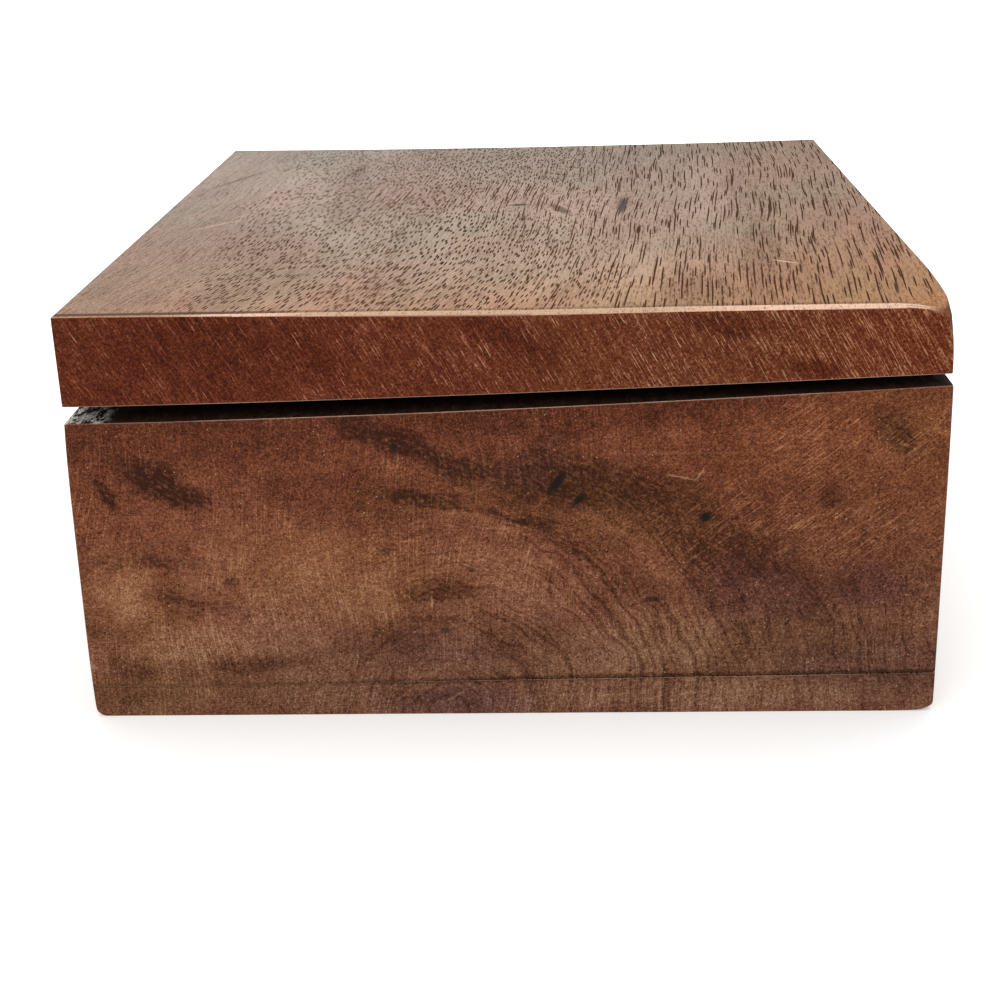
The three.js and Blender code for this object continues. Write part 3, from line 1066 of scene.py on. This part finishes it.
def lid_end_grain():
    """Dark red end grain crossed by steep scratches that catch the light."""
    graph, x, _, z, grain = end_graph("lid_end_grain")
    rough_edges = graph.noise_vector(grain, 0.6, 1)
    warped = graph.vector("ADD", graph.place, rough_edges)
    mottle = graph.noise(grain, 4, 0.6, scale=0.3)
    speckle = graph.noise(grain, 3, 0.75, scale=3.2)
    pores, pore_strength = specks(graph, grain, LID_END_PORES)
    tone = LID_END_TONE + (mottle - 0.5) * 0.4 + (speckle - 0.5) * 1.6
    tone = tone - pores * (pore_strength * 0.2 + 0.04)
    across = x.smooth(-HALF_WIDTH, HALF_WIDTH)
    tone = tone + across * 0.12 - marks(graph, warped, LID_DARK_MARKS, MARK_DEPTH)

    steep = hairs(graph, x, z, STEEP_HAIRS)
    shallow = hairs(graph, x, z, SHALLOW_HAIRS)
    sparks = hairs(graph, x, z, SPARKS)
    patches = graph.noise(grain, 2, scale=0.14).smooth(0.35, 0.65)
    hair = (steep + shallow * 0.6) * (patches * 0.5 + 0.5) * (across * 0.35 + 0.65)
    tone = tone + hair * 0.36 + sparks * (across * 0.45 + 0.4)

    colour = graph.ramp(tone.clamped(), LID_END_TONES)
    colour = graph.tinted(
        colour,
        (1 - across * 0.5, (0.97, 0.82, 0.78)),
        (x.smooth(-8, 14), (1.03, 1.14, 1.08)),
        (x.smooth(32, 58), (0.96, 0.78, 0.72)),
    )
    past_strip = near_corner(graph, speckle, STRIP_END_START, STRIP_END_FINISH)
    # Pale edges: worn finish, and painted highlight where the edge leans up and out.
    worn = worn_and_highlit_edge(graph) * (1 - past_strip)
    colour = graph.mixed(worn * 0.7, colour, WORN_AND_HIGHLIT_LID_END)
    height = speckle * 0.35 + hair * 0.6 + mottle * 0.3 - pores * 0.4
    roughness = (0.58 - hair * 0.12 + (mottle - 0.5) * 0.2).clamped()
    return graph.finish(colour, roughness, height, END_RELIEF, WOOD_SHINE)


# Long grain, on the lid's top and on every side face

FACE_TONES = (
    (0, (0.052, 0.019, 0.005)),
    (0.25, (0.122, 0.062, 0.03)),
    (0.45, (0.212, 0.143, 0.104)),
    (0.65, (0.315, 0.225, 0.172)),
    (1, (0.465, 0.355, 0.285)),
)
STREAKY_ZONES = (
    (4, 8, 17, 24, 0, 0.9),
    (-24, 16, 5, 12, -12, 0.7),
)
CROSS_MARKS = (
    (0.8, 4.6, 1.9, 1.1, 8, 1),
    (8.4, -0.5, 1.2, 6, 18, 0.75),
    (19.6, 2.5, 1, 8.5, -6, 1),
    (-9.5, -37, 0.7, 3, -8, 0.5),
    (-56, 37, 0.6, 13, -20, 0.5),
    (-33.5, 45, 0.9, 7, -10, 0.4),
)
SCRATCH_MARKS = (
    (43, -47, 0.35, 2.4, 50, 0.9),
    (-52, -10, 0.6, 6, -40, 0.35),
)
DARK_BANDS = (
    (-32, 25, 4, 46, 3, 0.13),
    (-18, 22, 13, 62, 0, 0.08),
    (50, 10, 10, 26, 0, 0.05),
    (34, 18, 8, 20, 0, 0.05),
    (-41, -52, 4, 28, -8, 0.1),
    (-14, 62, 20, 10, 10, 0.08),
    (40, -40, 3.5, 36, -5, 0.13),
    (28, -63, 6, 14, -5, 0.12),
    (-36, -42, 10, 30, 8, 0.1),
)
PALE_BANDS = (
    (-43, 30, 5, 44, 3, 0.06),
    (36, 20, 4.5, 50, -4, 0.12),
    (10, -50, 20, 20, 0, 0.06),
    (54, -42, 9, 22, 0, 0.06),
)


def top_marks(graph, place, table):
    """Soft ovals seen from above. Each row has the centre's X and Y, the half sizes along
    X and Y, the turn and the strength."""
    height = LID_TOP / 4
    return reduce(graph.largest, (
        strength * graph.oval(place, (x, y, LID_TOP), (0, 0, math.radians(turn)), (wide, deep, height))
        for x, y, wide, deep, turn, strength in table
    ))


EDGE_LINE_INSET = 1.1


def grain_lean(graph, u, along, z):
    """How far a line of grain has moved sideways at a place, as the grain swirls."""
    wander = graph.noise(graph.joined(u * 0.02, along * 0.014, z * 0.01), 1)
    ripple = graph.noise(graph.joined(u * 0.06, along * 0.04, z * 0.01), 1)
    right = u.smooth(-14, 12)
    swirl = (wander - 0.5) * 5 + (ripple - 0.5) * (2.4 - right * 1.4)
    front = along.smooth(-88, -36) * u.smooth(26, -8)
    return swirl - along * 0.08 - front * 3.5


CROSS_MARK = (0.05, 0.028, 0.02)
SCRATCH = (0.55, 0.38, 0.28)
EDGE_LINE = (0.07, 0.032, 0.018)
BARE_AND_HIGHLIT_WOOD = ((0.3, 0.16, 0.105), (0.68, 0.45, 0.335))
GOLDEN_WOOD = ((0.2, 0.085, 0.036), (0.4, 0.2, 0.092))
DARK_WOOD = ((0.1, 0.036, 0.017), (0.22, 0.095, 0.046))
# Keeps the grain of the sides apart from the top's
SIDE_OFFSET = 200
BRIGHT_SPOT_X = -36
FACE_TONE = 0.67
FACE_RELIEF = 0.06
# Little shine: the top's sheen is painted into its colour.
FACE_SHINE = {"Specular IOR Level": 0.02}


def face_pores(graph, warped, u, along, line):
    """Open pores: dashes on the left, longer streaks on the right, few along the left edge."""
    wavy = graph.noise(graph.joined(u * 0.05, along * 0.03), 1) - 0.5
    smooth_left = (u + wavy * 14).smooth(-38, -52)
    streaky = (u + wavy * 30).smooth(-2, 20)
    streaky = graph.largest(streaky, top_marks(graph, warped, STREAKY_ZONES))
    dashes = strokes(graph, line, along, DASHES)
    fine_dashes = strokes(graph, line + 120, along, FINE_DASHES)
    fine_zone = (u + wavy * 20).smooth(-14, -28)
    dashes = graph.largest(dashes * (1 - fine_zone), fine_dashes * fine_zone * 0.95)
    short_streaks = strokes(graph, line + 20, along, SHORT_STREAKS)
    long_streaks = strokes(graph, line + 50, along, LONG_STREAKS)
    streaks = graph.largest(short_streaks, long_streaks)
    pores = dashes * (1 - streaky * 0.8) + streaks * (streaky * 0.85 + 0.12)
    pores = pores.clamped() * (1 - smooth_left * 0.85)
    faded = (along - u * 0.4).smooth(10, 95)
    return pores * (1 - faded * 0.22)


def face_tints(graph, colour, is_top, u, line):
    """The colour zones of the top, and redder sides. The top is kept paler and greyer than the sides,
    most towards the back left, as painted sheen.
    """
    x, along, z = graph.axes
    tint = graph.noise(graph.joined(line * 0.05 + 30, along * 0.025, z * 0.02), 2)
    dark_right = (u + along * 0.5).smooth(-20, 90)
    painted_sheen = (along * 0.7 - x).smooth(-30, 95)
    warm = (x * 0.6 - along).smooth(20, 112)
    left = x.smooth(-26, -52) * along.smooth(60, 0)
    front_left = (x * -0.8 - along).smooth(40, 115)
    return graph.tinted(
        colour,
        (tint.smooth(0.48, 0.66), (0.93, 1, 0.97)),
        (tint.smooth(0.52, 0.34), (1.02, 0.97, 0.98)),
        (dark_right * is_top, (0.74, 0.74, 0.74)),
        # Sides redder than the top, which leaves the top paler as painted sheen.
        (1 - is_top, (0.92, 0.7, 0.6)),
        # Greyer towards the back left as painted reflection; warmer towards the front right, where less
        # of it falls.
        (painted_sheen * is_top, (0.96, 1.05, 1.14)),
        (warm * is_top, (1.02, 0.77, 0.53)),
        (left * is_top, (0.89, 0.86, 0.84)),
        (front_left * is_top, (1.06, 0.92, 0.86)),
        (along.smooth(10, 80) * is_top, (0.9, 0.92, 0.92)),
        (x.smooth(28, 56) * is_top, (0.99, 0.9, 0.83)),
    )


def worn_and_highlit_wood(graph, colour, speckle, nz):
    """Bare wood on the worn edges, pale as painted highlight too, and golden and dark wood on the worn
    corner.
    """
    x, _, _ = graph.axes
    bare_and_highlit = graph.mixed(speckle.smooth(0.3, 0.5), *BARE_AND_HIGHLIT_WOOD)
    # The pale edge is dulled except near BRIGHT_SPOT_X and towards the right, where the painted highlight
    # is brightest.
    from_bright_spot = graph.reckon("ABSOLUTE", x - BRIGHT_SPOT_X)
    dull = x.smooth(38, 20) * from_bright_spot.smooth(3, 10)
    bare_and_highlit = graph.tinted(bare_and_highlit, (dull, (0.74, 0.73, 0.66)), (x.smooth(-43, -50), (0.78, 0.66, 0.6)))
    patchy = speckle.smooth(0.4, 0.6)
    golden = graph.mixed(patchy, *GOLDEN_WOOD)
    golden_share = near_corner(graph, speckle, GOLDEN_START, GOLDEN_FINISH) * nz.smooth(0.9, 0.99)
    colour = graph.mixed(golden_share * 0.9, colour, golden)
    colour = graph.mixed(worn_and_highlit_edge(graph), colour, bare_and_highlit)
    corner_tone = graph.mixed(nz.smooth(0.75, 0.97), graph.mixed(patchy, *DARK_WOOD), golden)
    past_strip = near_corner(graph, speckle, STRIP_END_START, STRIP_END_FINISH)
    return graph.mixed(past_strip, colour, corner_tone)


def long_grain():
    """Long grain, its satin sheen on the top painted into the colour: open pores as dark dashes and
    streaks along the depth.
    """
    graph = Graph("long_grain")
    x, along, z = graph.axes
    nx, _, nz = graph.split(graph.vector("ABSOLUTE", graph.normal))
    is_side = nx.smooth(0.6, 0.8)
    u = x * (1 - is_side) + (z + SIDE_OFFSET) * is_side
    line = u + grain_lean(graph, u, along, z)
    rough_edges = graph.noise_vector(graph.place, 0.35, 1.6)
    warped = graph.vector("ADD", graph.place, rough_edges)
    pores = face_pores(graph, warped, u, along, line)
    fibres = hairs(graph, along, line + 80, FIBRES)
    zones = graph.noise(graph.joined(line * 0.07, along * 0.016, z * 0.02), 3, 0.65)
    fine_place = graph.vector("MULTIPLY", graph.place, (3.6, 1.5, 3.6))
    speckle = graph.noise(fine_place, 3, 0.75)
    tone = FACE_TONE + (zones - 0.5) * 0.5 + (speckle - 0.5) * 1.1 - fibres * 0.22
    tone = tone + top_marks(graph, warped, PALE_BANDS) - top_marks(graph, warped, DARK_BANDS)
    tone = tone - pores * 1.15

    colour = graph.ramp(tone.clamped(), FACE_TONES)
    is_top = nz.smooth(0.3, 0.7) * z.smooth(RIM_HIGHEST, LID_TOP)
    colour = face_tints(graph, colour, is_top, u, line)
    slightly = graph.vector("ADD", graph.place, graph.scaled(rough_edges, 0.15))
    colour = graph.mixed(top_marks(graph, slightly, CROSS_MARKS), colour, CROSS_MARK)
    colour = graph.mixed(top_marks(graph, slightly, SCRATCH_MARKS), colour, SCRATCH)
    behind_chamfer = graph.reckon("ABSOLUTE", along - (FRONT_Y + EDGE_LINE_INSET))
    edge_line = behind_chamfer.smooth(0.95, 0.45) * is_top
    edge_line = edge_line * (x.smooth(-20, -42) * 0.6 + 0.38)
    colour = graph.mixed(edge_line, colour, EDGE_LINE)
    colour = worn_and_highlit_wood(graph, colour, speckle, nz)

    height = fibres * -0.3 + speckle * 0.2 - pores + zones * 0.2
    roughness = (0.46 + pores * 0.25 + (zones - 0.5) * 0.15).clamped()
    return graph.finish(colour, roughness, height, FACE_RELIEF, FACE_SHINE)


# Torn wood left by the saw, on the rim and under the lid

SAWN_TONES = (
    (0.1, (0.022, 0.01, 0.007)),
    (0.5, (0.062, 0.034, 0.023)),
    (0.8, (0.12, 0.072, 0.05)),
    (1, (0.19, 0.125, 0.092)),
)
PAINTED_LIGHT_FIBRE_TONES = (
    (0.3, (0.01, 0.007, 0.005)),
    (0.42, (0.14, 0.112, 0.096)),
    (0.54, (0.52, 0.465, 0.435)),
    (1, (0.82, 0.77, 0.725)),
)
SAWN_RELIEF = 0.3


def sawn_wood():
    """Unfinished dark wood with torn black grooves, painted shade along the rim's front where the lid's
    gap shades it, and pale fibres at the left front as painted light.
    """
    graph = Graph("sawn_wood")
    x, y, _ = graph.axes
    across = graph.joined(x / SAWN_LENGTH, y / (SAWN_STRETCH * SAWN_LENGTH))
    torn = graph.noise(across, 4, 0.65)
    fine = graph.noise(graph.joined(x * 3, y * 0.8), 3, 0.6)
    lines = graph.noise(graph.joined(x * 0.9, y * 0.03), 2, 0.6)
    uneven = (torn - 0.5) * 1.5 + (fine - 0.5) * 1.1
    tone = 0.5 + uneven * 0.9 + (lines - 0.5) * 0.5
    colour = graph.ramp(tone.clamped(), SAWN_TONES)
    upward = graph.split(graph.normal)[2].smooth(0.2, 0.6)
    # Painted shade: the rim's top is darker along the front, where the lid's gap shades it.
    painted_shade_front = y.smooth(FRONT_Y + 14, FRONT_Y + 6) * upward
    colour = graph.tinted(colour, (painted_shade_front, (0.42, 0.34, 0.3)))
    # Painted light: pale fibres at the rim's left front, where light reaches into the gap from the left.
    squiggles = graph.ramp((0.5 + uneven * 2.2).clamped(), PAINTED_LIGHT_FIBRE_TONES)
    painted_light_left_front = x.smooth(-56.5, -59) * painted_shade_front
    colour = graph.mixed(painted_light_left_front, colour, squiggles)
    height = torn + fine * 0.35
    roughness = (0.75 + (fine - 0.5) * 0.3).clamped()
    return graph.finish(colour, roughness, height, SAWN_RELIEF, WOOD_SHINE)


# Brass of the hinges, pins and screws

BRASS = (0.54, 0.39, 0.17)
TARNISH = (0.27, 0.17, 0.075)
BRASS_RELIEF = 0.02


def aged_brass():
    """Dull yellow brass with brown tarnish in patches and fine rub marks."""
    graph = Graph("aged_brass")
    x, y, z = graph.axes
    patches = graph.noise(graph.place, 4, 0.6, scale=0.35)
    spots = graph.noise(graph.place, 3, 0.6, scale=2.5)
    rub_marks = graph.noise(graph.joined(x * 0.5, y * 6, z * 6), 2, 0.6)
    tarnish = (patches + (spots - 0.5) * 0.4).smooth(0.45, 0.72)
    colour = graph.mixed(tarnish, BRASS, TARNISH)
    roughness = (0.33 + tarnish * 0.22 + (rub_marks - 0.5) * 0.2).clamped()
    height = spots * 0.6 + rub_marks * 0.5
    return graph.finish(colour, roughness, height, BRASS_RELIEF, {"Metallic": 1})


# Put together


def add_camera():
    """The photograph's camera, where it stood and turned as it was."""
    data = bpy.data.cameras.new("photo_camera")
    data.lens = CAMERA_LENS
    data.sensor_width = CAMERA_SENSOR
    camera = new_object("photo_camera", data)
    matrix = Matrix.Translation(Vector(CAMERA_PLACE) * METRES)
    for angle, axis in ((-CAMERA_YAW, "Z"), (90 - CAMERA_PITCH, "X"), (CAMERA_ROLL, "Z")):
        matrix = matrix @ Matrix.Rotation(math.radians(angle), 4, axis)
    camera.matrix_world = matrix
    bpy.context.scene.camera = camera


# How far a face's normal points out of the front, or up or down, to count as that face
FRONT_NORMAL_SHARE = 0.8
SAWN_NORMAL_SHARE = 0.7
WORN_NORMAL_SHARE = 0.9


def wooden_piece(name, shape, materials, cut_side, cut_depth):
    """A piece whose face on the cut side, 1 for up and -1 for down, is worn by cut_depth(place)."""
    piece = make_piece(name, *shape)

    def depth_at(place, normal):
        depth = cut_depth if normal[2] * cut_side > WORN_NORMAL_SHARE else sanded
        return depth(place)

    def pick(centre, normal):
        if cut_depth is sawn and normal.z * cut_side > SAWN_NORMAL_SHARE:
            return 2
        return 0 if abs(normal.y) > FRONT_NORMAL_SHARE else 1

    wear_inwards(piece, depth_at)
    if cut_depth is sawn:
        cut_seats(piece, -cut_side)
    shade(piece)
    paint(piece, materials, pick)
    return piece


def add_lid(materials):
    lid = wooden_piece("wooden_lid", lid_mesh(), materials, -1, sawn)
    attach(lid, "lid")
    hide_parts("lid")


def add_block(materials):
    block = wooden_piece("wooden_block", block_mesh(), materials, 1, sawn)
    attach(block, "box")
    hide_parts("body_block")


def add_board(materials):
    board = wooden_piece("wooden_base_board", board_mesh(), materials, 1, glued)
    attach(board, "box")
    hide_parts("base_board")


BRASS_EDGE = 0.12
BRASS_EDGE_ANGLE = math.radians(35)


def dress_hinges(brass):
    """The hinges and screws stay as they are, with eased edges and aged brass."""
    for name, node in frame["nodes"].items():
        if not name.startswith("hinge_"):
            continue
        node.data.materials.clear()
        node.data.materials.append(brass)
        bevel = node.modifiers.new("eased_edges", "BEVEL")
        bevel.width = BRASS_EDGE * METRES
        bevel.segments = 2
        bevel.limit_method = "ANGLE"
        bevel.angle_limit = BRASS_EDGE_ANGLE


FLOOR_SIZE = 6000
FLOOR_COLOUR = (0.8, 0.8, 0.79)
FLOOR_LIFT = 0.25
FLOOR_FADE_START = 120
FLOOR_FADE_END = 450


def camera_side_share(graph):
    """1 for what the camera sees straight, mirrored or through glass."""
    rays = graph.node("ShaderNodeLightPath")
    kinds = ("Is Camera Ray", "Is Glossy Ray", "Is Transmission Ray")
    return reduce(graph.largest, (Field(graph, rays.outputs[kind]) for kind in kinds))


def floor_paper():
    """Pale paper that the camera sees brighter far from the box, so that the shadow stays."""
    graph = Graph("floor_paper")
    fade = graph.field("ShaderNodeMapRange", "Result", {
        "Value": graph.vector("LENGTH", graph.place),
        "From Min": FLOOR_FADE_START,
        "From Max": FLOOR_FADE_END,
        "To Min": FLOOR_LIFT,
    })
    paper = graph.field("ShaderNodeBsdfDiffuse", 0, {"Color": FLOOR_COLOUR})
    glow = graph.field("ShaderNodeEmission", 0, {"Strength": camera_side_share(graph) * fade})
    both = graph.field("ShaderNodeAddShader", 0, {0: paper, 1: glow})
    graph.node("ShaderNodeOutputMaterial", {"Surface": both})
    return graph.owner


def add_floor():
    half = FLOOR_SIZE / 2
    corners = [(-half, -half, 0), (half, -half, 0), (half, half, 0), (-half, half, 0)]
    floor = make_piece("floor", corners, [(0, 1, 2, 3)])
    floor.data.materials.append(floor_paper())


WORLD_LIGHT = 0.62


def add_world():
    """White to the camera and in reflections, and a plain soft light otherwise."""
    graph = Graph("white_studio", bpy.data.worlds)
    light, white = (
        graph.field("ShaderNodeBackground", 0, {"Color": (1, 1, 1), "Strength": strength})
        for strength in (WORLD_LIGHT, 1)
    )
    mix = graph.field("ShaderNodeMixShader", 0, {0: camera_side_share(graph), 1: light, 2: white})
    graph.node("ShaderNodeOutputWorld", {"Surface": mix})
    bpy.context.scene.world = graph.owner


# Soft boxes: name, place, what they point at, size and power in watts
LAMPS = (
    ("overhead_softbox", (0, 0.12, 0.75), (0, 0, 0.05), 0.8, 5),
    ("front_softbox", (-0.25, -0.85, 0.55), (0, 0, 0.04), 0.7, 3.8),
)


def add_lamps():
    for name, place, target, size, power in LAMPS:
        data = bpy.data.lights.new(name, "AREA")
        data.shape = "SQUARE"
        data.size = size
        data.energy = power
        lamp = new_object(name, data)
        lamp.location = place
        aim = Vector(target) - Vector(place)
        lamp.rotation_euler = aim.to_track_quat("-Z", "Y").to_euler()


add_camera()
add_floor()
add_world()
add_lamps()
block_end = end_grain()
lid_end = lid_end_grain()
face = long_grain()
torn = sawn_wood()
add_lid((lid_end, face, torn))
add_block((block_end, face, torn))
add_board((block_end, face))
dress_hinges(aged_brass())

bpy.context.scene.view_settings.view_transform = "Standard"
